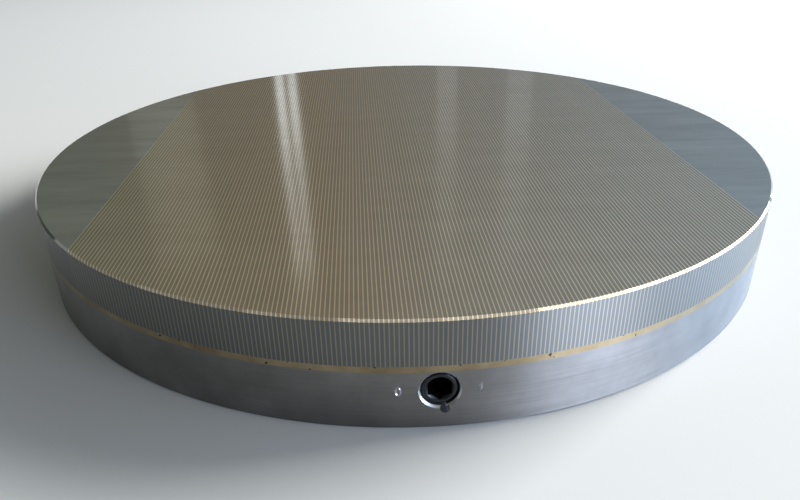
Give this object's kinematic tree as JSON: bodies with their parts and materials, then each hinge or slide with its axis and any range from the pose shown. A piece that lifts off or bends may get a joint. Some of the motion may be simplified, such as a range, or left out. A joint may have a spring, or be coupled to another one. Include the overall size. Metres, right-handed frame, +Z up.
{
  "type": "round permanent magnetic chuck",
  "caption": "Round permanent magnetic chuck with a laminated pole plate and a magnet pack that an eccentric key shaft slides between off and on.",
  "frame": {"origin": "centre of the flat underside, on the axis of the round housing", "axes": "+Z up out of the work face, -Y towards the switching shaft in the side wall, +X to its right seen from the front, across the laminations"},
  "size_m": [0.45, 0.45, 0.054],
  "materials": {
    "housing_steel": "ground",
    "plate_steel": "surface ground",
    "ring_brass": "turned",
    "strip_brass": "surface ground",
    "black_steel": "black oxide",
    "pin_steel": "hardened and ground",
    "pack_steel": "milled",
    "magnet": "nickel plated sintered magnet",
    "bronze": "turned bronze",
    "seal_rubber": "moulded",
    "slide_plastic": "filled slideway sheet",
    "clamp_aluminium": "milled"
  },
  "bodies": {
    "housing": {"base_housing": "housing_steel", "spacer_ring": "ring_brass", "side_segment_left": "plate_steel", "side_segment_right": "plate_steel", "pole_laminations": "plate_steel", "brass_laminations": "strip_brass", "guide_poles": "pack_steel", "guide_spacers": "ring_brass", "clamp_screws": "black_steel", "dowel_pins": "pin_steel", "rim_seal": "seal_rubber", "slide_sheet": "slide_plastic", "guide_rails": "pack_steel", "rail_screws": "black_steel", "shaft_bush": "bronze", "stop_pin": "pin_steel"},
    "key_shaft": {"drive_shaft": "black_steel", "shaft_seal": "seal_rubber", "thrust_washer": "bronze", "retaining_ring": "black_steel"},
    "magnet_pack": {"pack_base_plate": "pack_steel", "pack_poles": "pack_steel", "pack_magnets": "magnet", "pack_yoke": "pack_steel", "pack_rear_bar": "pack_steel", "pack_side_clamps": "clamp_aluminium", "frame_screws": "black_steel", "tie_rods": "ring_brass", "tie_rod_nuts": "ring_brass"}
  },
  "joints": [
    {"name": "pack_slide", "type": "slide", "parent": "housing", "child": "magnet_pack", "axis": [1, 0, 0], "range_m": [0, 0.0038]},
    {"name": "switch_turn", "type": "hinge", "parent": "housing", "child": "key_shaft", "pos_m": [0, -0.21, 0.0197], "axis": [0, 1, 0], "range_deg": [0, 180]}
  ],
  "couplings": [
    {"joint": "switch_turn", "follows": "pack_slide", "rad_per_m": 826.73}
  ]
}
